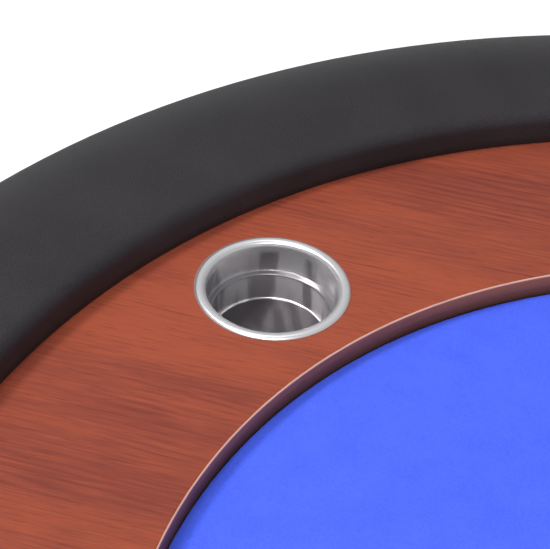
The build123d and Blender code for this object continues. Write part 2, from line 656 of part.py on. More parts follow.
def make_lower_arms():
    """The lower brace arms, from the knee to the posts."""
    knee_x, knee_z = brace_knee()
    arm = arm_plate(knee_x, knee_z, LOWER_ARM, 0, LOWER_ARM_Y)
    y_from, y_to = LOWER_ARM_Y - ARM_THICKNESS, LOWER_ARM_Y + ARM_THICKNESS
    post_pivot = (HINGE_X, AXIS_HEIGHT - BRACE_DROP)
    arm -= cylinder_across(*post_pivot, y_from, y_to, PIVOT_RADIUS + RUNNING_CLEARANCE)
    arm -= cylinder_across(knee_x, knee_z, y_from, y_to, PIVOT_RADIUS)
    return group(both_sides(arm))


def rivet_across(x, z, y_tail, y_head):
    """A rivet along Y, flush at its tail and with a domed head past y_head."""
    shank = cylinder_across(x, z, y_tail, y_head, PIVOT_RADIUS)
    dome_radius = (RIVET_HEAD_RADIUS**2 + RIVET_HEAD_HEIGHT**2) / (2 * RIVET_HEAD_HEIGHT)
    outward = 1 if y_head > y_tail else -1
    middle = y_head + outward * (RIVET_HEAD_HEIGHT - dome_radius)
    ball = Pos(x, middle, z) * Sphere(dome_radius)
    slab_from, slab_to = sorted((y_head, y_head + outward * dome_radius))
    slab_low = (x - dome_radius, slab_from, z - dome_radius)
    slab = box_between(slab_low, (x + dome_radius, slab_to, z + dome_radius))
    return shank + (ball & slab)


def make_anchor_rivets():
    """The rivets that pin the upper arms to their brackets."""
    tail = UPPER_ARM_Y + ARM_THICKNESS / 2
    head = BRACKET_Y - BRACKET_THICKNESS / 2
    return group(both_sides(rivet_across(HINGE_X - ANCHOR_REACH, AXIS_HEIGHT, tail, head)))


def make_post_rivets():
    """The rivets through the posts that the lower arms turn on."""
    tail = LOWER_ARM_Y - ARM_THICKNESS / 2
    rivet = rivet_across(HINGE_X, AXIS_HEIGHT - BRACE_DROP, tail, POST_Y + POST_RADIUS)
    return group(both_sides(rivet))


def make_knee_rivets():
    """The knee rivets, headed on the upper arms."""
    head = UPPER_ARM_Y - ARM_THICKNESS / 2
    return group(both_sides(rivet_across(*brace_knee(), UPPER_ARM_Y + ARM_THICKNESS / 2, head)))


def make_knee_tails():
    """The knee rivets' tails, flush in the lower arms."""
    y_from, y_to = LOWER_ARM_Y - ARM_THICKNESS / 2, LOWER_ARM_Y + ARM_THICKNESS / 2
    return group(both_sides(cylinder_across(*brace_knee(), y_from, y_to, PIVOT_RADIUS)))


# ---------------------------------------------------------------- nodes


def top_nodes():
    """The nodes of the top."""
    return {
        "base_board": make_base_board(),
        "racetrack_board": make_racetrack_board(),
        "racetrack_edge_band": make_edge_band(),
        "felt_underlay": make_underlay(),
        "felt": make_felt(),
        "rail_core": make_rail_core(),
        "rail_foam": make_rail_foam(),
        "rail_cover": make_rail_cover(),
        "rail_bolts": make_rail_bolts(),
        "rail_washers": make_rail_washers(),
        "rail_tee_nuts": make_tee_nuts(),
        "racetrack_screws": group(board_screws()),
        "fitting_screws": group(fitting_screws()),
        "front_slat": make_slat(-1),
        "rear_slat": make_slat(1),
        "leg_clips": make_leg_clips(),
    }


def cup_nodes():
    """The ten cups, numbered round the table."""
    cup = make_cup()
    return {f"cup_{index}": Pos(p.X, p.Y, 0) * cup for index, p in enumerate(cup_points(), 1)}


def end_nodes():
    """Everything that both ends have, made at the right and mirrored to the left."""
    front_post = make_front_post()
    right = {
        "cleat": make_cleat(),
        "brace_pads": make_brace_pads(),
        "hinge_bushes": make_hinge_bushes(),
        "hinge_straps": make_hinge_straps(),
        "brace_brackets": make_brace_brackets(),
        "hinge_tube": make_hinge_tube(),
        "hinge_tube_caps": make_tube_caps(),
        "front_post": front_post,
        "rear_post": mirror(front_post, about=Plane.XZ),
        "stretcher": make_stretcher(),
        "feet": make_feet(),
        "upper_arms": make_upper_arms(),
        "lower_arms": make_lower_arms(),
        "anchor_rivets": make_anchor_rivets(),
        "post_rivets": make_post_rivets(),
        "knee_rivets": make_knee_rivets(),
        "knee_rivet_tails": make_knee_tails(),
    }
    nodes = {f"right_{name}": shape for name, shape in right.items()}
    nodes.update({f"left_{name}": mirror(shape, about=Plane.YZ) for name, shape in right.items()})
    return nodes


def main():
    """Writes one STEP for each node."""
    os.makedirs("parts", exist_ok=True)
    nodes = {**top_nodes(), **cup_nodes(), **end_nodes()}
    for name, shape in nodes.items():
        export_step(shape, f"parts/{name}.step")
    print(len(nodes), "nodes")


if __name__ == "__main__":
    main()
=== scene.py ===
import json
import logging
import math
from dataclasses import dataclass
from enum import Enum

import bmesh
import bpy
from mathutils import Matrix, Vector, noise


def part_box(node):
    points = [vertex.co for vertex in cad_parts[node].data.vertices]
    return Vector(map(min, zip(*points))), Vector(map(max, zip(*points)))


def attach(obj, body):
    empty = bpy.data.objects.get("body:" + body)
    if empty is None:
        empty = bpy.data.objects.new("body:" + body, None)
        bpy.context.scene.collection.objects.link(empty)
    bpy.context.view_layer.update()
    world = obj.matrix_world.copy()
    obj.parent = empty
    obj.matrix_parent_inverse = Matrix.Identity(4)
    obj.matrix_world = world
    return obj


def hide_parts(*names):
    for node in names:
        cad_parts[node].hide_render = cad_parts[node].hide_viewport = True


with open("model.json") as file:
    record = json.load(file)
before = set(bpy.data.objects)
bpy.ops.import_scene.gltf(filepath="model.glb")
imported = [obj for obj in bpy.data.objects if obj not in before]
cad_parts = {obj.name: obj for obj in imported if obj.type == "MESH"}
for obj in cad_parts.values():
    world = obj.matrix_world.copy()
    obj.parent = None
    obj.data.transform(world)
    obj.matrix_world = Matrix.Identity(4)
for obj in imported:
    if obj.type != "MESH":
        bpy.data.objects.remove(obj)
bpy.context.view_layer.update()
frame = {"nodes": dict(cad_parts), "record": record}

LOG = logging.getLogger("poker_table")
Point = tuple[float, float]
Colour = tuple[float, float, float, float]
BAND_THICKNESS = 0.001
BAND_ARRIS = 0.0007
SAME_POINT = 1e-6


# ---------------------------------------------------------------- shader maths


class Signal:
    """A number carried by a shader socket, whose arithmetic adds Math nodes."""

    def __init__(self, graph: "Graph", socket: bpy.types.NodeSocket) -> None:
        """Wraps one output socket of a graph."""
        self.graph = graph
        self.socket = socket

    def math(self, operation: str, *others: "Signal | float") -> "Signal":
        """Adds a Math node.

        Args:
            operation: the Math node's operation.
            others: the operands after this one.

        Returns:
            The result.
        """
        sockets = {index: value for index, value in enumerate((self, *others))}
        return self.graph.add("ShaderNodeMath", {"operation": operation}, sockets)

    def __add__(self, other: "Signal | float") -> "Signal":
        """This plus other."""
        return self.math("ADD", other)

    __radd__ = __add__

    def __mul__(self, other: "Signal | float") -> "Signal":
        """This times other."""
        return self.math("MULTIPLY", other)

    __rmul__ = __mul__

    def __sub__(self, other: "Signal | float") -> "Signal":
        """This minus other."""
        return self.math("SUBTRACT", other)

    def __rsub__(self, other: float) -> "Signal":
        """A number minus this."""
        return self.graph.add("ShaderNodeMath", {"operation": "SUBTRACT"}, {0: other, 1: self})

    def step(self, low: float, high: float) -> "Signal":
        """A smooth step.

        Args:
            low: where it is 0.
            high: where it is 1.

        Returns:
            The stepped signal, from 0 to 1.
        """
        sockets = {"Value": self, "From Min": low, "From Max": high}
        return self.graph.add("ShaderNodeMapRange", {"interpolation_type": "SMOOTHSTEP"}, sockets)


class Graph:
    """A material's node tree."""

    def __init__(self, name: str) -> None:
        """Makes an empty material of that name."""
        self.material = bpy.data.materials.new(name)
        self.material.use_nodes = True
        self.tree = self.material.node_tree
        self.tree.nodes.clear()

    def add(
        self,
        kind: str,
        settings: dict[str, object] | None = None,
        sockets: dict[str | int, object] | None = None,
        output: str | int = 0,
    ) -> Signal:
        """Adds a node.

        Args:
            kind: the node's type.
            settings: its properties, set first.
            sockets: a value or a Signal for each named input.
            output: which output to return.

        Returns:
            That output.
        """
        node = self.tree.nodes.new(kind)
        for name, value in (settings or {}).items():
            setattr(node, name, value)
        for key, value in (sockets or {}).items():
            if isinstance(value, Signal):
                self.tree.links.new(value.socket, node.inputs[key])
            else:
                node.inputs[key].default_value = value
        return Signal(self, node.outputs[output])

    def coordinates(self, kind: str, scale: tuple[float, float, float] = (1, 1, 1)) -> Signal:
        """Texture coordinates.

        Args:
            kind: Object or UV.
            scale: how much each axis is multiplied by.

        Returns:
            The scaled coordinates.
        """
        place = self.add("ShaderNodeTexCoord", output=kind)
        return self.add("ShaderNodeVectorMath", {"operation": "MULTIPLY"}, {0: place, 1: scale})

    def noise(self, place: Signal, scale: float, detail: float = 2.0, distortion: float = 0.0) -> Signal:
        """Noise.

        Args:
            place: coordinates.
            scale: cells to the unit.
            detail: octaves.
            distortion: how far the pattern is bent.

        Returns:
            The noise, about 0.5.
        """
        sockets = {"Vector": place, "Scale": scale, "Detail": detail, "Distortion": distortion}
        return self.add("ShaderNodeTexNoise", sockets=sockets, output="Fac")

    def cells(self, place: Signal, scale: float, feature: str = "F1") -> Signal:
        """The distance to the nearest of a scatter of cell points, or to the cells' edges."""
        sockets = {"Vector": place, "Scale": scale}
        return self.add("ShaderNodeTexVoronoi", {"feature": feature}, sockets, "Distance")

    def mix(self, factor: Signal | float, first: Signal | Colour, second: Signal | Colour) -> Signal:
        """A mix of two colours.

        Args:
            factor: 0 for the first, 1 for the second.
            first: a colour.
            second: a colour.

        Returns:
            The mixed colour.
        """
        return self.add("ShaderNodeMix", {"data_type": "RGBA"}, {0: factor, 6: first, 7: second}, 2)

    def bump(self, height: Signal, distance: float, strength: float = 1.0) -> Signal:
        """A normal from a height.

        Args:
            height: from 0 to 1.
            distance: metres from 0 to 1.
            strength: the Bump node's strength.

        Returns:
            The normal.
        """
        sockets = {"Height": height, "Distance": distance, "Strength": strength}
        return self.add("ShaderNodeBump", sockets=sockets)

    def surface(self, sockets: dict[str | int, object]) -> bpy.types.Material:
        """Ends the tree in a Principled shader and returns the material."""
        shader = self.add("ShaderNodeBsdfPrincipled", sockets=sockets)
        output = self.tree.nodes.new("ShaderNodeOutputMaterial")
        self.tree.links.new(shader.socket, output.inputs["Surface"])
        return self.material


# ---------------------------------------------------------------- finishes


@dataclass(frozen=True)
class SpeedCloth:
    """A tightly woven playing cloth with a short soft nap."""

    light: Colour = (0.086, 0.158, 0.99, 1)
    dark: Colour = (0.066, 0.125, 0.86, 1)
    thread_pitch: float = 0.0007
    nap_size: float = 0.0011

    def material(self) -> bpy.types.Material:
        """A fine square weave under a slightly uneven nap."""
        graph = Graph("blue_cloth")
        turns = 2 * math.pi / self.thread_pitch
        place = graph.coordinates("Object", (turns, turns, turns))
        warp = graph.add("ShaderNodeSeparateXYZ", sockets={0: place}, output=0).math("SINE")
        weft = graph.add("ShaderNodeSeparateXYZ", sockets={0: place}, output=1).math("SINE")
        weave = warp * weft * 0.5 + 0.5
        nap = graph.noise(graph.coordinates("Object"), 1 / self.nap_size, 3)
        cloud = graph.noise(graph.coordinates("Object"), 60, 4)
        shade = (nap - 0.5) * 1.5 + (cloud - 0.5) * 0.8 + (weave - 0.5) * 0.3 + 0.5
        return graph.surface(
            {
                "Base Color": graph.mix(shade.step(0, 1), self.dark, self.light),
                "Roughness": 0.95,
                "Sheen Weight": 0.05,
                "Sheen Roughness": 0.4,
                "Specular IOR Level": 0.08,
                "Normal": graph.bump(weave * 0.4 + nap, 0.0001, 0.7),
            }
        )


class GrainMap(Enum):
    """What a veneer's grain follows."""

    LENGTH = "Object"
    STRIP = "UV"


@dataclass(frozen=True)
class Veneer:
    """Red-brown veneer: long fine lines, slow bands of tone, a few open pores and, where an arris is
    given, a painted highlight along it.
    """

    name: str
    light: Colour
    dark: Colour
    pore: Colour
    grain: GrainMap = GrainMap.LENGTH
    roughness: float = 0.46
    line_pitch: float = 0.0042
    arris: Point | None = None
    # The pale colour of the painted highlight along the arris.
    painted_arris_highlight: Colour = (0.78, 0.50, 0.44, 1)

    def stretched(self, graph: Graph, along: float, across: float, scale: float, detail: float) -> Signal:
        """Noise drawn out along the grain."""
        return graph.noise(graph.coordinates(self.grain.value, (along, across, across)), scale, detail)

    def material(self) -> bpy.types.Material:
        """Grain runs along X, or along U on a strip with its own map."""
        graph = Graph(self.name)
        sway = self.stretched(graph, 1.6, 7.0, 1.0, 2)
        waver = self.stretched(graph, 7.0, 60.0, 1.0, 2)
        place = graph.coordinates(self.grain.value)
        across = graph.add("ShaderNodeSeparateXYZ", sockets={0: place}, output=1)
        phase = across * (2 * math.pi / self.line_pitch) + sway * 90 + waver * 14
        line = (phase.math("SINE") * 0.5 + 0.5).math("POWER", 3.0)
        where = self.stretched(graph, 11.0, 30.0, 1.0, 2).step(0.46, 0.68)
        bands = self.stretched(graph, 6.0, 46.0, 1.0, 5)
        fibre = self.stretched(graph, 38.0, 620.0, 1.0, 4)
        pores = self.stretched(graph, 80.0, 1500.0, 1.0, 1).step(0.62, 0.74)
        patch = self.stretched(graph, 3.0, 11.0, 1.0, 3)
        tones = (bands - 0.5) * 1.0 + (patch - 0.5) * 1.1 + (fibre - 0.5) * 1.2
        grain = tones + line * where * 0.34 + 0.36
        body = graph.mix(grain.step(0.0, 1.0), self.light, self.dark)
        # Painted highlight: a pale line along the arris stands in for the light it catches.
        if self.arris:
            start, end = self.arris
            fade = (end - start) / 4
            arris_highlight_mask = across.step(start - fade, start + fade) * (1 - across.step(end - fade, end + fade))
            body = graph.mix(arris_highlight_mask * 0.8, body, self.painted_arris_highlight)
        return graph.surface(
            {
                "Base Color": graph.mix(pores * 0.4, body, self.pore),
                "Roughness": pores * 0.15 + fibre * 0.10 + (self.roughness - 0.05),
                "Specular IOR Level": 0.22,
                "Normal": graph.bump(1 - pores * 0.6 - line * where * 0.3, 0.00005, 0.5),
            }
        )


@dataclass(frozen=True)
class Leatherette:
    """Fine-grained black artificial leather."""

    body: Colour = (0.020, 0.0180, 0.0215, 1)
    worn: Colour = (0.034, 0.0315, 0.036, 1)
    grain: float = 0.0011

    def material(self) -> bpy.types.Material:
        """Small creased cells over slow unevenness, the crease lines painted a little darker as shade."""
        graph = Graph("rail_leather")
        place = graph.coordinates("Object")
        bend = graph.noise(place, 0.5 / self.grain, 2)
        creases = graph.cells(place, 1 / self.grain, "DISTANCE_TO_EDGE").step(0.0, 0.22)
        fine = graph.noise(place, 2.2 / self.grain, 4, 0.8)
        slow = graph.noise(place, 24, 3)
        # The crease lines pull the tone a little darker: painted shade in the creases.
        tone = (slow - 0.5) * 1.0 + (fine - 0.5) * 0.9 + creases * 0.2 + 0.35
        return graph.surface(
            {
                "Base Color": graph.mix(tone.step(0, 1), self.body, self.worn),
                "Roughness": slow * 0.10 + (1 - creases) * 0.08 + 0.40,
                "Specular IOR Level": 0.34,
                "Normal": graph.bump(creases * 0.5 + fine * 0.8 + bend * 0.6, 0.0003, 0.9),
            }
        )


@dataclass(frozen=True)
class TurnedSteel:
    """Stainless steel pressed and spun: satin walls lined along U with painted reflection streaks round
    them, a rougher floor painted dark as shade, and a darker shoulder band.
    """

    shoulder: Point
    colour: Colour = (0.97, 0.97, 0.99, 1)
    # The dark tone of the painted reflection streaks on the walls.
    shade: Colour = (0.44, 0.43, 0.45, 1)
    # The floor's colour is painted dark, as shade at the bottom of the cup.
    floor: Colour = (0.085, 0.077, 0.084, 1)
    floor_radius: float = 0.0308
    floor_fade: float = 0.0006
    # A darker tone of the same steel for the shoulder band.
    darker_shoulder_tone: Colour = (0.28, 0.27, 0.29, 1)
    lip_from: float = 0.011
    lip_fade: float = 0.004
    lines_per_metre: float = 7000
    tones_per_metre: float = 5

    def material(self) -> bpy.types.Material:
        """Turning lines from the cup's own map, where V is the distance from the floor's middle."""
        graph = Graph("cup_steel")
        angle = graph.add("ShaderNodeSeparateXYZ", sockets={0: graph.coordinates("UV")}) * (2 * math.pi)
        out = graph.add("ShaderNodeSeparateXYZ", sockets={0: graph.coordinates("UV")}, output=1)
        turn = {0: angle.math("COSINE"), 1: angle.math("SINE")}
        ringed = graph.add("ShaderNodeCombineXYZ", sockets={**turn, 2: out * self.lines_per_metre})
        lines = graph.noise(ringed, 1.0, 3)
        # Painted reflection: light and dark streaks round the walls, below the lip, stand in for the
        # lamps' upright reflections.
        upright = graph.add("ShaderNodeCombineXYZ", sockets={**turn, 2: out * self.tones_per_metre})
        painted_reflection_streaks = graph.noise(upright, 2.6, 3)
        stains = graph.noise(graph.coordinates("Object"), 60, 3)
        wall = out.step(self.floor_radius, self.floor_radius + self.floor_fade)
        start, end = self.shoulder
        fade = (end - start) / 5
        shoulder = out.step(start - fade, start + fade) * (1 - out.step(end - fade, end + fade))
        lip = end + self.lip_from
        below_lip = 1 - out.step(lip, lip + self.lip_fade)
        metal = graph.mix(painted_reflection_streaks.step(0.42, 0.60) * below_lip, self.colour, self.shade)
        # The shoulder band is darkened in colour.
        metal = graph.mix(shoulder, metal, self.darker_shoulder_tone)
        return graph.surface(
            {
                # Painted shade: where the wall mask is 0, the floor takes its dark colour.
                "Base Color": graph.mix(wall, self.floor, metal),
                "Metallic": wall * 0.06 + 0.76,
                "Roughness": lines * 0.08 + stains * 0.05 + (1 - wall) * 0.22 + 0.15,
                "Anisotropic": 0.8,
                "Normal": graph.bump(lines, 0.00002, 0.3),
            }
        )


@dataclass(frozen=True)
class PlatedSteel:
    """Zinc-plated pressed steel."""

    colour: Colour = (0.56, 0.57, 0.60, 1)
    dull: Colour = (0.38, 0.39, 0.42, 1)

    def material(self) -> bpy.types.Material:
        """Blotchy bright plating with faint rolling marks."""
        graph = Graph("zinc_plate")
        blotch = graph.noise(graph.coordinates("Object"), 90, 4)
        marks = graph.noise(graph.coordinates("Object", (60, 900, 900)), 1.0, 2)
        return graph.surface(
            {
                "Base Color": graph.mix(blotch.step(0.3, 0.75), self.colour, self.dull),
                "Metallic": 1.0,
                "Roughness": blotch * 0.25 + marks * 0.1 + 0.2,
                "Normal": graph.bump(marks * 0.5 + blotch * 0.5, 0.00004, 0.4),
            }
        )


@dataclass(frozen=True)
class PowderCoat:
    """Black powder coat with a light orange peel."""

    colour: Colour = (0.020, 0.020, 0.021, 1)
    scuffed: Colour = (0.055, 0.055, 0.057, 1)

    def material(self) -> bpy.types.Material:
        """Orange peel, and scuffs here and there."""
        graph = Graph("leg_paint")
        peel = graph.noise(graph.coordinates("Object"), 700, 2)
        scuffs = graph.noise(graph.coordinates("Object", (40, 40, 9)), 1.0, 5).step(0.60, 0.72)
        return graph.surface(
            {
                "Base Color": graph.mix(scuffs * 0.6, self.colour, self.scuffed),
                "Roughness": scuffs * 0.2 + peel * 0.1 + 0.3,
                "Normal": graph.bump(peel, 0.0001, 0.35),
            }
        )


@dataclass(frozen=True)
class MouldedNylon:
    """Black moulded nylon with a fine spark-eroded texture."""

    colour: Colour = (0.022, 0.022, 0.022, 1)
    rubbed: Colour = (0.045, 0.045, 0.045, 1)

    def material(self) -> bpy.types.Material:
        """A fine even grain, rubbed in places."""
        graph = Graph("black_nylon")
        texture = graph.noise(graph.coordinates("Object"), 1600, 2)
        rub = graph.noise(graph.coordinates("Object"), 50, 4)
        return graph.surface(
            {
                "Base Color": graph.mix(rub.step(0.45, 0.75), self.colour, self.rubbed),
                "Roughness": rub * 0.15 + 0.5,
                "Normal": graph.bump(texture, 0.00008, 0.5),
            }
        )


@dataclass(frozen=True)
class Fibreboard:
    """Raw fibreboard: pale brown, with fine darker fibres."""

    light: Colour = (0.46, 0.33, 0.20, 1)
    dark: Colour = (0.33, 0.22, 0.125, 1)

    def material(self) -> bpy.types.Material:
        """Speckled fibres over slow tone changes."""
        graph = Graph("board")
        fibres = graph.noise(graph.coordinates("Object", (260, 700, 500)), 1.0, 4)
        tone = graph.noise(graph.coordinates("Object"), 5, 3)
        mixed = ((fibres - 0.5) * 1.5 + (tone - 0.5) * 0.8 + 0.5).step(0, 1)
        return graph.surface(
            {
                "Base Color": graph.mix(mixed, self.light, self.dark),
                "Roughness": fibres * 0.15 + 0.72,
                "Normal": graph.bump(fibres, 0.00015, 0.5),
            }
        )


@dataclass(frozen=True)
class OpenFoam:
    """Grey open-cell foam."""

    light: Colour = (0.30, 0.30, 0.31, 1)
    dark: Colour = (0.12, 0.12, 0.13, 1)

    def material(self) -> bpy.types.Material:
        """Small cells, their pits painted dark as shade."""
        graph = Graph("foam")
        # The pits are painted darker than the foam around them, as shade in the open cells.
        pits = graph.cells(graph.coordinates("Object"), 900).step(0.1, 0.6)
        return graph.surface(
            {
                "Base Color": graph.mix(pits, self.dark, self.light),
                "Roughness": 0.95,
                "Normal": graph.bump(pits, 0.0003, 0.6),
            }
        )


@dataclass(frozen=True)
class PaleFloor:
    """A plain pale studio floor."""

    colour: Colour = (0.97, 0.97, 0.97, 1)
    shade: Colour = (0.94, 0.94, 0.94, 1)
    glow: Colour = (1, 1, 1, 1)
    glow_strength: float = 0.4

    def material(self) -> bpy.types.Material:
        """Almost even, with a very slow change of tone, and lit from within like a light table."""
        graph = Graph("pale_floor")
        tone = graph.noise(graph.coordinates("Object"), 0.6, 2)
        return graph.surface(
            {
                "Base Color": graph.mix(tone, self.colour, self.shade),
                "Roughness": 0.8,
                "Emission Color": self.glow,
                "Emission Strength": self.glow_strength,
            }
        )


def make_finishes() -> dict[str, bpy.types.Material]:
    """The material for each of the record's slots."""
    low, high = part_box("racetrack_edge_band")
    # Where along the band's section the painted arris highlight lies.
    corner = high[2] - low[2] + BAND_THICKNESS - BAND_ARRIS
    arris = (corner, corner + BAND_ARRIS * math.pi / 2)
    return {
        "blue_cloth": SpeedCloth().material(),
        "racetrack_wood": Veneer(
            "racetrack_wood", (0.350, 0.076, 0.038, 1), (0.200, 0.044, 0.031, 1), (0.11, 0.022, 0.016, 1)
        ).material(),
        "edge_band": Veneer(
            "edge_band",
            (0.44, 0.155, 0.050, 1),
            (0.30, 0.095, 0.034, 1),
            (0.09, 0.02, 0.016, 1),
            GrainMap.STRIP,
            0.34,
            arris=arris,
        ).material(),
        "rail_leather": Leatherette().material(),
        "cup_steel": TurnedSteel(CupHolders.shoulder()).material(),
        "board": Fibreboard().material(),
        "foam": OpenFoam().material(),
        "leg_paint": PowderCoat().material(),
        "zinc_plate": PlatedSteel().material(),
        "black_nylon": MouldedNylon().material(),
    }


# ---------------------------------------------------------------- meshes


def arc(centre: Point, radius: float, start: float, turn: float, steps: int) -> list[Point]:
    """Points on an arc.

    Args:
        centre: its middle.
        radius: its radius.
        start: the first point's angle, in degrees.
        turn: how far it turns, in degrees, anticlockwise if positive.
        steps: how many stretches.

    Returns:
        steps + 1 points.
    """
    angles = [math.radians(start + turn * step / steps) for step in range(steps + 1)]
    return [(centre[0] + radius * math.cos(a), centre[1] + radius * math.sin(a)) for a in angles]


def rounded(corners: list[Point], radii: list[float], steps: int = 6) -> list[Point]:
    """A path of straight runs with rounded corners.

    Args:
        corners: the path's points.
        radii: a radius for each corner between the first and last points.
        steps: stretches in each rounding.

    Returns:
        The path's points.
    """
    path = [corners[0]]
    for before, corner, after, radius in zip(corners, corners[1:], corners[2:], radii):
        back = (Vector(before) - Vector(corner)).normalized()
        on = (Vector(after) - Vector(corner)).normalized()
        half = back.angle(on) / 2
        middle = Vector(corner) + (back + on).normalized() * radius / math.sin(half)
        first = Vector(corner) + back * radius / math.tan(half) - middle
        last = Vector(corner) + on * radius / math.tan(half) - middle
        turn = first.angle_signed(last)
        start = math.degrees(math.atan2(first.y, first.x))
        path += arc(tuple(middle), radius, start, -math.degrees(turn), steps)
    return path + [corners[-1]]


@dataclass(frozen=True)
class Oval:
    """The table's oval: two half-round ends joined by straight sides."""

    end_centre: float
    end_steps: int = 96
    side_steps: int = 96

    def stations(self) -> list[tuple[Vector, Vector]]:
        """Where a section is placed round the oval.

        Returns:
            For each station its centre and its outward direction.
        """
        places = []
        for sign in (1, -1):
            for step in range(self.end_steps):
                angle = math.pi * (step / self.end_steps - 0.5)
                outward = Vector((math.cos(angle), math.sin(angle), 0)) * sign
                places.append((Vector((sign * self.end_centre, 0, 0)), outward))
            for step in range(self.side_steps):
                x = sign * self.end_centre * (1 - 2 * step / self.side_steps)
                places.append((Vector((x, 0, 0)), Vector((0, sign, 0))))
        return places


class MeshMaker:
    """Turns sections into finished objects."""

    @staticmethod
    def surface(
        name: str, rings: list[list[Vector]], closed_section: bool, lengths: list[float]
    ) -> bpy.types.Object:
        """A closed band of quads.

        Args:
            name: the object's name.
            rings: one list of points for each station, all the same length.
            closed_section: whether each ring's last point joins its first.
            lengths: each station's U in the map, with one more for the return to the first.

        Returns:
            The object, smooth shaded, with a map of U along the band and V along the section in metres.
        """
        mesh = bmesh.new()
        verts = [[mesh.verts.new(point) for point in ring] for ring in rings]
        layer = mesh.loops.layers.uv.new("strip")
        count = len(rings[0])
        across = [0.0]
        for first, second in zip(rings[0], rings[0][1:] + rings[0][:1]):
            across.append(across[-1] + (second - first).length)
        for station, ring in enumerate(verts):
            following = verts[(station + 1) % len(verts)]
            for index in range(count if closed_section else count - 1):
                after = (index + 1) % count
                face = mesh.faces.new((ring[index], following[index], following[after], ring[after]))
                face.smooth = True
                on, out = station + 1, index + 1
                places = ((station, index), (on, index), (on, out), (station, out))
                for loop, (u, v) in zip(face.loops, places):
                    loop[layer].uv = (lengths[u], across[v])
        bmesh.ops.remove_doubles(mesh, verts=mesh.verts, dist=SAME_POINT)
        bmesh.ops.recalc_face_normals(mesh, faces=mesh.faces)
        data = bpy.data.meshes.new(name)
        mesh.to_mesh(data)
        mesh.free()
        piece = bpy.data.objects.new(name, data)
        bpy.context.scene.collection.objects.link(piece)
        return piece

    @classmethod
    def swept(cls, name: str, section: list[Point], oval: Oval, closed: bool = True) -> bpy.types.Object:
        """A section carried round the oval.

        Args:
            name: the object's name.
            section: points as (radius, height).
            oval: the path.
            closed: whether the section is a closed loop.

        Returns:
            The object.
        """
        rings = []
        for centre, outward in oval.stations():
            rings.append([centre + outward * r + Vector((0, 0, z)) for r, z in section])
        lengths = [0.0]
        for first, second in zip(rings, rings[1:] + rings[:1]):
            lengths.append(lengths[-1] + (second[0] - first[0]).length)
        return cls.surface(name, rings, closed, lengths)

    @classmethod
    def turned(cls, name: str, section: list[Point], middle: Vector, steps: int = 96) -> bpy.types.Object:
        """A section turned about an upright axis.

        Args:
            name: the object's name.
            section: points as (radius, height), whose first and last lie on the axis or meet.
            middle: a point on the axis.
            steps: stretches round the turn.

        Returns:
            The object.
        """
        rings = []
        for step in range(steps):
            angle = 2 * math.pi * step / steps
            outward = Vector((math.cos(angle), math.sin(angle), 0))
            foot = Vector((middle.x, middle.y, 0))
            rings.append([foot + outward * r + Vector((0, 0, z)) for r, z in section])
        return cls.surface(name, rings, True, [step / steps for step in range(steps + 1)])


def place(
    piece: bpy.types.Object, body: str, slot: str, finish: bpy.types.Material, *nodes: str
) -> None:
    """Gives a piece its finish and body.

    Args:
        piece: the piece.
        body: the body it rides on.
        slot: the record's material slot, not used.
        finish: its material.
        nodes: the CAD nodes it stands for.
    """
    piece.data.materials.clear()
    piece.data.materials.append(finish)
    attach(piece, body)
    if nodes:
        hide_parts(*nodes)
    LOG.info("%s on %s, %d faces", piece.name, body, len(piece.data.polygons))


# ---------------------------------------------------------------- the top


@dataclass
class Top:
    """The playing cloth and the racetrack's edge band."""

    finishes: dict[str, bpy.types.Material]
    oval: Oval
    cloth_rounding: float = 0.0006
    cloth_rings: int = 24
    cloth_unevenness: float = 0.00012

    def make_cloth(self) -> bpy.types.Object:
        """The stretched cloth, its edge rolled down into the gap."""
        low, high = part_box("felt")
        radius = high[1]
        rounding = self.cloth_rounding
        top = [(radius * step / self.cloth_rings * 0.995, high[2]) for step in range(self.cloth_rings + 1)]
        edge = arc((radius - rounding, high[2] - rounding), rounding, 90, -90, 4)
        under = [(point[0], low[2]) for point in reversed(top)]
        cloth = MeshMaker.swept("playing_cloth", top + edge + [(radius, low[2])] + under, self.oval, False)
        for vert in cloth.data.vertices:
            if vert.co.z > high[2] - rounding / 2:
                vert.co.z -= self.cloth_unevenness * (1 + noise.noise(vert.co * 9)) / 2
        place(cloth, "table", "blue_cloth", self.finishes["blue_cloth"], "felt")
        area = math.pi * radius**2 + 4 * self.oval.end_centre * radius
        return cloth

    def make_edge_band(self) -> bpy.types.Object:
        """The band, its inner top arris rounded."""
        low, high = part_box("racetrack_edge_band")
        outer = high[1]
        inner = outer - BAND_THICKNESS
        rounding = (inner + BAND_ARRIS, high[2] - BAND_ARRIS)
        section = [(outer, low[2]), (outer, high[2]), (rounding[0], high[2])]
        section += arc(rounding, BAND_ARRIS, 90, 90, 5)[1:]
        section += [(inner, low[2])]
        band = MeshMaker.swept("racetrack_band", section, self.oval)
        place(band, "table", "edge_band", self.finishes["edge_band"], "racetrack_edge_band")
        return band


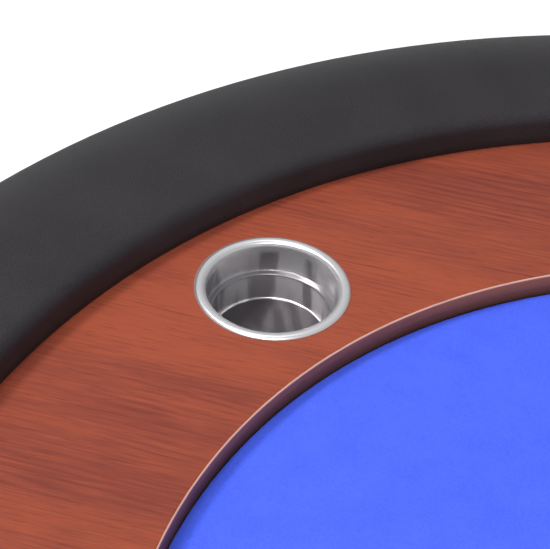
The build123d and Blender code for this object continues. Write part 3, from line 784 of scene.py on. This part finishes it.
@dataclass
class PaddedRail:
    """The padded armrest rail, its cover drawn under the boards and stapled."""

    finishes: dict[str, bpy.types.Material]
    oval: Oval
    width: float = 0.106
    cover: float = 0.001
    corner_radius: float = 0.009
    corner_slope: float = 12.0
    roll_radius: float = 0.017
    roll_slope: float = 25.0
    roll_drop: float = 0.0033
    inner_flap: float = 0.014
    outer_flap: float = 0.026
    board_gap: float = 0.006
    foot_rise: float = 0.006
    side_drop: float = 0.016
    softness: float = 0.0006
    staple_count: int = 132
    staple_width: float = 0.010
    staple_wire: float = 0.0005
    staple_inset: float = 0.011

    def outline(self, inset: float) -> list[Point]:
        """The padded part of the section, from the inner foot over the crown to the outer edge.

        Args:
            inset: how far inside the cover's outer face.

        Returns:
            Points as (radius, height).
        """
        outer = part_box("rail_cover")[1][1]
        foot = outer - self.width
        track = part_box("racetrack_board")[1][2]
        slope_in, slope_out = math.radians(self.corner_slope), math.radians(self.roll_slope)
        corner_x = foot + self.corner_radius
        roll = (outer - self.roll_radius, track - self.roll_drop)
        crown_from = corner_x - self.corner_radius * math.sin(slope_in)
        crown_to = roll[0] + self.roll_radius * math.sin(slope_out)
        crown_radius = (crown_to - crown_from) / (math.sin(slope_in) + math.sin(slope_out))
        reach = crown_radius - self.roll_radius
        crown = (roll[0] - reach * math.sin(slope_out), roll[1] - reach * math.cos(slope_out))
        corner_z = crown[1] + (crown_radius - self.corner_radius) * math.cos(slope_in)
        lean, fall = self.corner_slope, self.roll_slope
        path = arc((corner_x, corner_z), self.corner_radius - inset, 180, lean - 90, 10)
        path += arc(crown, crown_radius - inset, 90 + lean, -lean - fall, 22)[1:]
        path += arc(roll, self.roll_radius - inset, 90 - fall, fall - 90, 10)[1:]
        return path

    def section(self) -> list[Point]:
        """The cover's whole section: outer face, tucked edges and inner face."""
        low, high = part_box("rail_cover")
        outer = high[1]
        foot = outer - self.width
        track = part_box("racetrack_board")[1][2]
        under = low[2]
        flap_edge, tuck_edge = outer - self.outer_flap, foot + self.inner_flap
        skin = self.cover
        nip, hem = 0.4 * skin, 2.5 * skin
        rise, side = track + self.foot_rise, track - self.side_drop
        outside = [(tuck_edge, track), (foot + nip, track), (foot, track + nip), (foot, rise)]
        outside += self.outline(0) + [(outer, side), (outer, under + hem)]
        outside += arc((outer - hem, under + hem), hem, 0, -90, 4)[1:] + [(flap_edge, under)]
        board_edge = outer - self.board_gap
        inside = [(flap_edge, under + skin), (board_edge, under + skin), (outer - skin, under + hem)]
        inside += [(outer - skin, side)] + self.outline(skin)[::-1]
        inside += [(foot + skin, rise), (foot + skin, track + skin), (tuck_edge, track + skin)]
        return outside + inside

    def soften(self, piece: bpy.types.Object) -> None:
        """Lets the padding rise and dip a little, inwards only, except at its foot and underside."""
        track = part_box("racetrack_board")[1][2]
        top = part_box("rail_cover")[1][2]
        for vert in piece.data.vertices:
            reach = min(max((vert.co.z - track - self.foot_rise) / (top - track), 0.0), 1.0)
            swell = noise.noise(vert.co * 6.5) + 0.5 * noise.noise(vert.co * 17 + Vector((3, 1, 4)))
            vert.co.z -= self.softness * reach * (1 + swell)

    def make_cover(self) -> bpy.types.Object:
        """The padded cover."""
        piece = MeshMaker.swept("padded_rail_cover", self.section(), self.oval)
        self.soften(piece)
        place(piece, "table", "rail_leather", self.finishes["rail_leather"], "rail_cover")
        return piece

    def staple(self) -> bpy.types.Object:
        """One staple: a thin crown lying flat, with short bent ends."""
        half, wire = self.staple_width / 2, self.staple_wire
        mesh = bmesh.new()
        path = [(-half, 2 * wire, 0), (-half, 0, -wire), (half, 0, wire), (half, 2 * wire, 0)]
        corners = ((-1, -1), (1, -1), (1, 1), (-1, 1))
        rings = []
        for x, z, lean in path:
            places = [(x + a * wire / 2, b * wire / 2, z + a * lean / 2) for a, b in corners]
            rings.append([mesh.verts.new(place) for place in places])
        for first, second in zip(rings, rings[1:]):
            for index in range(4):
                after = (index + 1) % 4
                mesh.faces.new((first[index], first[after], second[after], second[index]))
        mesh.faces.new(rings[0])
        mesh.faces.new(rings[-1])
        bmesh.ops.recalc_face_normals(mesh, faces=mesh.faces)
        data = bpy.data.meshes.new("staple")
        mesh.to_mesh(data)
        mesh.free()
        return bpy.data.objects.new("staple", data)

    def make_staples(self) -> bpy.types.Object:
        """A row of staples through the cover's flap under the base board."""
        low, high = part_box("rail_cover")
        radius = high[1] - self.outer_flap + self.staple_inset
        lap = OvalWalk(self.oval.end_centre, radius)
        places = [lap.at(index / self.staple_count) for index in range(self.staple_count)]
        points = [(spot.x, spot.y, low[2] - self.staple_wire / 2) for spot, _ in places]
        turns = [turn for _, turn in places]
        row = FastenerRow("cover_staples", self.staple(), self.finishes["zinc_plate"], 0.12, 7)
        piece = row.make(points, turns)
        place(piece, "table", "zinc_plate", self.finishes["zinc_plate"])
        return piece


@dataclass(frozen=True)
class OvalWalk:
    """Evenly spaced places on an oval of one radius."""

    end_centre: float
    radius: float

    def at(self, share: float) -> tuple[Vector, float]:
        """A place on the oval.

        Args:
            share: how much of a lap from the right-hand tip.

        Returns:
            The place, and the direction of travel there as an angle in radians.
        """
        lap = 2 * math.pi * self.radius + 4 * self.end_centre
        half_laps, along = divmod(share * lap, lap / 2)
        side = min(max(along - math.pi * self.radius / 2, 0), 2 * self.end_centre)
        turned = (along - side) / self.radius
        x = self.end_centre - side + self.radius * math.cos(turned)
        spot = Vector((x, self.radius * math.sin(turned), 0))
        half_turns = math.pi * half_laps
        return Matrix.Rotation(half_turns, 3, "Z") @ spot, turned + math.pi / 2 + half_turns


# ---------------------------------------------------------------- repeated fasteners


@dataclass
class FastenerRow:
    """A Geometry Nodes tree that puts a copy of one fastener at every point of a mesh."""

    name: str
    item: bpy.types.Object
    finish: bpy.types.Material
    unevenness: float
    seed: int

    def tree(self) -> bpy.types.NodeTree:
        """Instances on points, each turned by its own angle and a little at random."""
        group = bpy.data.node_groups.new(self.name, "GeometryNodeTree")
        face = group.interface
        inputs = {
            "Points": "Geometry",
            "Fastener": "Object",
            "Finish": "Material",
            "Unevenness": "Float",
            "Seed": "Int",
        }
        for name, kind in inputs.items():
            face.new_socket(name, in_out="INPUT", socket_type=f"NodeSocket{kind}")
        face.new_socket("Row", in_out="OUTPUT", socket_type="NodeSocketGeometry")
        nodes, link = group.nodes, group.links.new
        given = nodes.new("NodeGroupInput")
        fastener = nodes.new("GeometryNodeObjectInfo")
        link(given.outputs["Fastener"], fastener.inputs["Object"])
        turn = nodes.new("GeometryNodeInputNamedAttribute")
        turn.data_type = "FLOAT"
        turn.inputs["Name"].default_value = "turn"
        least = nodes.new("ShaderNodeMath")
        least.operation = "MULTIPLY"
        least.inputs[1].default_value = -1.0
        link(given.outputs["Unevenness"], least.inputs[0])
        chance = nodes.new("FunctionNodeRandomValue")
        chance.data_type = "FLOAT"
        link(least.outputs[0], chance.inputs[2])
        link(given.outputs["Unevenness"], chance.inputs[3])
        link(given.outputs["Seed"], chance.inputs["Seed"])
        total = nodes.new("ShaderNodeMath")
        total.operation = "ADD"
        link(turn.outputs["Attribute"], total.inputs[0])
        link(chance.outputs[1], total.inputs[1])
        about_z = nodes.new("ShaderNodeCombineXYZ")
        link(total.outputs[0], about_z.inputs["Z"])
        copies = nodes.new("GeometryNodeInstanceOnPoints")
        link(given.outputs["Points"], copies.inputs["Points"])
        link(fastener.outputs["Geometry"], copies.inputs["Instance"])
        link(about_z.outputs[0], copies.inputs["Rotation"])
        solid = nodes.new("GeometryNodeRealizeInstances")
        link(copies.outputs[0], solid.inputs[0])
        painted = nodes.new("GeometryNodeSetMaterial")
        link(solid.outputs[0], painted.inputs["Geometry"])
        link(given.outputs["Finish"], painted.inputs["Material"])
        result = nodes.new("NodeGroupOutput")
        link(painted.outputs[0], result.inputs[0])
        return group

    def make(self, points: list[tuple[float, float, float]], turns: list[float]) -> bpy.types.Object:
        """Builds the row.

        Args:
            points: where each fastener goes.
            turns: each one's angle about the vertical, in radians.

        Returns:
            One object with a plain mesh of them all.
        """
        data = bpy.data.meshes.new(self.name)
        data.from_pydata(points, [], [])
        angles = data.attributes.new("turn", "FLOAT", "POINT")
        angles.data.foreach_set("value", turns)
        row = bpy.data.objects.new(self.name, data)
        bpy.context.scene.collection.objects.link(row)
        modifier = row.modifiers.new("repeat", "NODES")
        group = self.tree()
        values = {
            "Fastener": self.item,
            "Finish": self.finish,
            "Unevenness": self.unevenness,
            "Seed": self.seed,
        }
        modifier.node_group = group
        for socket in group.interface.items_tree:
            if socket.in_out == "INPUT" and socket.name in values:
                modifier[socket.identifier] = values[socket.name]
        depsgraph = bpy.context.evaluated_depsgraph_get()
        plain = bpy.data.meshes.new_from_object(row.evaluated_get(depsgraph))
        row.modifiers.remove(modifier)
        row.data = plain
        return row


@dataclass
class Screws:
    """Countersunk screws with crossed recesses."""

    finishes: dict[str, bpy.types.Material]
    head_radius: float = 0.004
    shank_radius: float = 0.002
    head_depth: float = 0.0022
    recess_width: float = 0.0044
    recess_arm: float = 0.0011
    recess_depth: float = 0.0011
    recess_taper: float = 0.8

    def item(self, length: float) -> bpy.types.Object:
        """One screw, head down at the origin.

        Args:
            length: its whole length.

        Returns:
            An object that isn't in the scene.
        """
        mesh = bmesh.new()
        half, thin = self.recess_width / 2, self.recess_arm / 2
        cross = []
        for quarter in range(4):
            turn = Matrix.Rotation(math.pi / 2 * quarter, 3, "Z")
            corners = ((half, -thin, 0), (half, thin, 0), (thin, thin, 0))
            cross += [turn @ Vector(corner) for corner in corners]
        sunk = Vector((0, 0, self.recess_depth))
        rings = [
            [mesh.verts.new(corner * self.recess_taper + sunk) for corner in cross],
            [mesh.verts.new(corner) for corner in cross],
        ]
        shank = self.shank_radius
        for radius, height in ((self.head_radius, 0), (shank, self.head_depth), (shank, length)):
            angles = [math.atan2(corner.y, corner.x) for corner in cross]
            places = [(radius * math.cos(angle), radius * math.sin(angle), height) for angle in angles]
            rings.append([mesh.verts.new(place) for place in places])
        for first, second in zip(rings, rings[1:]):
            for index in range(len(cross)):
                after = (index + 1) % len(cross)
                mesh.faces.new((first[index], first[after], second[after], second[index]))
        mesh.faces.new(rings[0])
        mesh.faces.new(rings[-1])
        bmesh.ops.recalc_face_normals(mesh, faces=mesh.faces)
        data = bpy.data.meshes.new("screw")
        mesh.to_mesh(data)
        mesh.free()
        return bpy.data.objects.new("screw", data)

    def make(self, node: str, name: str, length: float, seed: int) -> bpy.types.Object:
        """Screws where a CAD node's are.

        Args:
            node: the CAD node.
            name: the new piece's name.
            length: each screw's length.
            seed: the seed of their turns.

        Returns:
            The piece.
        """
        heads = self.heads(node)
        row = FastenerRow(name, self.item(length), self.finishes["zinc_plate"], math.pi, seed)
        piece = row.make(heads, [0.0] * len(heads))
        place(piece, "table", "zinc_plate", self.finishes["zinc_plate"], node)
        return piece

    @staticmethod
    def heads(node: str) -> list[tuple[float, float, float]]:
        """The middle of each screw head in a CAD node, at its lowest point."""
        source = bmesh.new()
        source.from_mesh(frame["nodes"][node].data)
        bmesh.ops.remove_doubles(source, verts=source.verts, dist=SAME_POINT)
        heads, seen = [], set()
        for start in source.verts:
            if start in seen:
                continue
            island, front = {start}, [start]
            while front:
                vert = front.pop()
                for edge in vert.link_edges:
                    other = edge.other_vert(vert)
                    if other not in island:
                        island.add(other)
                        front.append(other)
            seen |= island
            xs, ys, zs = ([vert.co[axis] for vert in island] for axis in range(3))
            heads.append(((min(xs) + max(xs)) / 2, (min(ys) + max(ys)) / 2, min(zs)))
        source.free()
        return sorted(heads)


# ---------------------------------------------------------------- cups


@dataclass
class CupHolders:
    """The drop-in cups: rolled lip, upper bore, ledge, lower bore and flat floor."""

    finishes: dict[str, bpy.types.Material]
    bore_radius: float = 0.0358
    ledge_width: float = 0.0035
    wall: float = 0.0007
    ledge_depth: float = 0.018
    lip_radius: float = 0.0035
    lip_rise: float = 0.002
    ledge_fillet: float = 0.0009
    floor_fillet: float = 0.0012
    steps: int = 112

    @classmethod
    def shoulder(cls) -> Point:
        """Where the shoulder between the bores starts and ends, along the section from its start."""
        low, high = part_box("cup_1")
        rise = high[2] - cls.lip_rise - cls.ledge_depth - low[2] - cls.wall
        lower = cls.bore_radius - cls.ledge_width
        corner = math.pi / 2 - 2
        start = lower + rise + cls.floor_fillet * corner - cls.ledge_fillet
        return start, start + cls.ledge_width + cls.ledge_fillet * corner + cls.ledge_fillet

    def section(self, low: float, high: float) -> list[Point]:
        """Half of a cup's section.

        Args:
            low: the height of the cup's underside.
            high: the height of the lip's top.

        Returns:
            Points as (radius, height), from the floor's middle up the inside and down the outside.
        """
        top = high - self.lip_rise
        floor, ledge = low + self.wall, top - self.ledge_depth
        lower = self.bore_radius - self.ledge_width
        lip = (self.bore_radius + self.lip_radius, high - self.lip_radius)
        sink = self.lip_radius - self.lip_rise
        thin = self.lip_radius - self.wall
        fillets = (self.floor_fillet, self.ledge_fillet, self.ledge_fillet)
        bore, skin = self.bore_radius, self.wall
        inside = rounded(
            [(0, floor), (lower, floor), (lower, ledge), (bore, ledge), (bore, lip[1])], list(fillets)
        )
        outside = rounded(
            [
                (0, floor - skin),
                (lower + skin, floor - skin),
                (lower + skin, ledge - skin),
                (bore + skin, ledge - skin),
                (bore + skin, lip[1]),
            ],
            [fillets[0] + skin, fillets[1] - skin, fillets[2] + skin],
        )
        upper_end = math.degrees(math.asin(sink / self.lip_radius))
        under_end = math.degrees(math.asin(sink / thin))
        over = arc(lip, self.lip_radius, 180, upper_end - 180, 14)
        under = arc(lip, thin, under_end, 180 - under_end, 10)
        return inside + over[1:] + under + outside[::-1][1:]

    def make(self) -> None:
        """Makes every cup."""
        for name in sorted(node for node in frame["nodes"] if node.startswith("cup_")):
            low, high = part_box(name)
            middle = Vector(((low[0] + high[0]) / 2, (low[1] + high[1]) / 2, 0))
            cup = MeshMaker.turned(f"{name}_spun", self.section(low[2], high[2]), middle, self.steps)
            place(cup, f"{name}_holder", "cup_steel", self.finishes["cup_steel"], name)


# ---------------------------------------------------------------- studio


@dataclass(frozen=True)
class Lamp:
    """A square soft light: its place from the aim as right, away and up, its side and its watts."""

    name: str
    offset: tuple[float, float, float]
    size: float
    power: float
    tint: tuple[float, float, float]


LAMPS = (
    Lamp("key", (-1.6, -0.3, 2.4), 0.6, 44, (1, 0.97, 0.94)),
    Lamp("overhead", (-0.2, 0.1, 2.6), 1.4, 5, (0.97, 0.98, 1)),
    Lamp("front_right", (0.05, -1.7, 1.6), 0.34, 13, (1, 0.95, 0.93)),
    Lamp("front_left", (-1.0, -1.4, 1.7), 0.34, 13, (1, 0.95, 0.93)),
)


@dataclass
class Studio:
    """Floor, lights and camera."""

    floor_size: float = 30.0
    azimuth: float = 12.2
    elevation: float = 40.4
    roll: float = 3.82
    distance: float = 1.0015
    aim_aside: float = 0.0009
    aim_beyond: float = 0.0111
    focal: float = 121.1
    seen_cup: str = "cup_5"
    wall_light: float = 0.34
    ceiling_light: float = 0.46

    def make_floor(self) -> None:
        """A pale floor under the feet."""
        half = self.floor_size / 2
        data = bpy.data.meshes.new("floor")
        corners = [(-half, -half, 0), (half, -half, 0), (half, half, 0), (-half, half, 0)]
        data.from_pydata(corners, [], [(0, 1, 2, 3)])
        floor = bpy.data.objects.new("floor", data)
        floor.data.materials.append(PaleFloor().material())
        bpy.context.scene.collection.objects.link(floor)

    def aim(self) -> Vector:
        """The point that the camera looks at, on the racetrack just beyond the cup."""
        low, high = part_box(self.seen_cup)
        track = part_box("racetrack_board")[1][2]
        cup = Vector(((low[0] + high[0]) / 2, (low[1] + high[1]) / 2, track))
        return cup + self.turned(Vector((self.aim_aside, self.aim_beyond, 0)))

    def turned(self, offset: Vector) -> Vector:
        """An offset given as right, away and up from the camera's bearing, in the table's axes."""
        return Matrix.Rotation(math.radians(self.azimuth), 3, "Z") @ offset

    def make_camera(self) -> None:
        """A long lens close over one end of the table."""
        rise = math.radians(self.elevation)
        forward = self.turned(Vector((0, math.cos(rise), -math.sin(rise))))
        level = self.turned(Vector((1, 0, 0)))
        upright = level.cross(forward)
        lean = math.radians(self.roll)
        right = level * math.cos(lean) + upright * math.sin(lean)
        up = upright * math.cos(lean) - level * math.sin(lean)
        camera = bpy.data.objects.new("camera", bpy.data.cameras.new("camera"))
        turn = Matrix((right, up, -forward)).transposed().to_4x4()
        camera.matrix_world = Matrix.Translation(self.aim() - forward * self.distance) @ turn
        camera.data.lens = self.focal
        camera.data.sensor_width = 36
        camera.data.clip_start = 0.01
        bpy.context.scene.collection.objects.link(camera)
        bpy.context.scene.camera = camera

    def make_light(self, lamp: Lamp) -> None:
        """A square soft light aimed at the camera's aim."""
        data = bpy.data.lights.new(lamp.name, "AREA")
        data.size = lamp.size
        data.energy = lamp.power
        data.color = lamp.tint
        light = bpy.data.objects.new(lamp.name, data)
        light.location = self.aim() + self.turned(Vector(lamp.offset))
        light.rotation_euler = (self.aim() - light.location).to_track_quat("-Z", "Y").to_euler()
        bpy.context.scene.collection.objects.link(light)

    def make_surround(self) -> None:
        """A studio that is bright overhead and dim towards its walls."""
        world = bpy.data.worlds.new("surround")
        world.use_nodes = True
        nodes, link = world.node_tree.nodes, world.node_tree.links.new
        direction = nodes.new("ShaderNodeTexCoord")
        height = nodes.new("ShaderNodeSeparateXYZ")
        link(direction.outputs["Generated"], height.inputs[0])
        rise = nodes.new("ShaderNodeMapRange")
        rise.interpolation_type = "SMOOTHSTEP"
        rise.inputs["From Min"].default_value = 0.25
        rise.inputs["From Max"].default_value = 0.95
        rise.inputs["To Min"].default_value = self.wall_light
        rise.inputs["To Max"].default_value = self.ceiling_light
        link(height.outputs["Z"], rise.inputs["Value"])
        link(rise.outputs["Result"], nodes["Background"].inputs["Strength"])
        nodes["Background"].inputs["Color"].default_value = (0.97, 0.98, 1, 1)
        bpy.context.scene.world = world

    def make_lights(self) -> None:
        """A soft key on the left, a broad fill overhead and two small lights in front."""
        for lamp in LAMPS:
            self.make_light(lamp)
        self.make_surround()
        bpy.context.scene.view_settings.view_transform = "Standard"


def dress_frame(finishes: dict[str, bpy.types.Material]) -> None:
    """Gives every carried-over CAD node the finish of its slot."""
    slots = {part["node"]: part["material_slot"] for part in frame["record"]["subparts"]}
    for name, node in frame["nodes"].items():
        if not node.material_slots:
            node.data.materials.append(None)
        for slot in node.material_slots:
            slot.material = finishes[slots[name]]


def main() -> None:
    """Builds the table's looks, one sub-assembly at a time."""
    logging.basicConfig(level=logging.INFO, format="%(message)s")
    studio = Studio()
    studio.make_camera()
    studio.make_floor()
    studio.make_lights()
    finishes = make_finishes()
    dress_frame(finishes)
    low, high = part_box("rail_cover")
    oval = Oval(high[0] - high[1])
    top = Top(finishes, oval)
    top.make_cloth()
    top.make_edge_band()
    rail = PaddedRail(finishes, oval)
    rail.make_cover()
    rail.make_staples()
    screws = Screws(finishes)
    screws.make("racetrack_screws", "racetrack_cross_screws", 0.025, 11)
    screws.make("fitting_screws", "fitting_cross_screws", 0.025, 12)
    CupHolders(finishes).make()


if __name__ == "__main__":
    main()
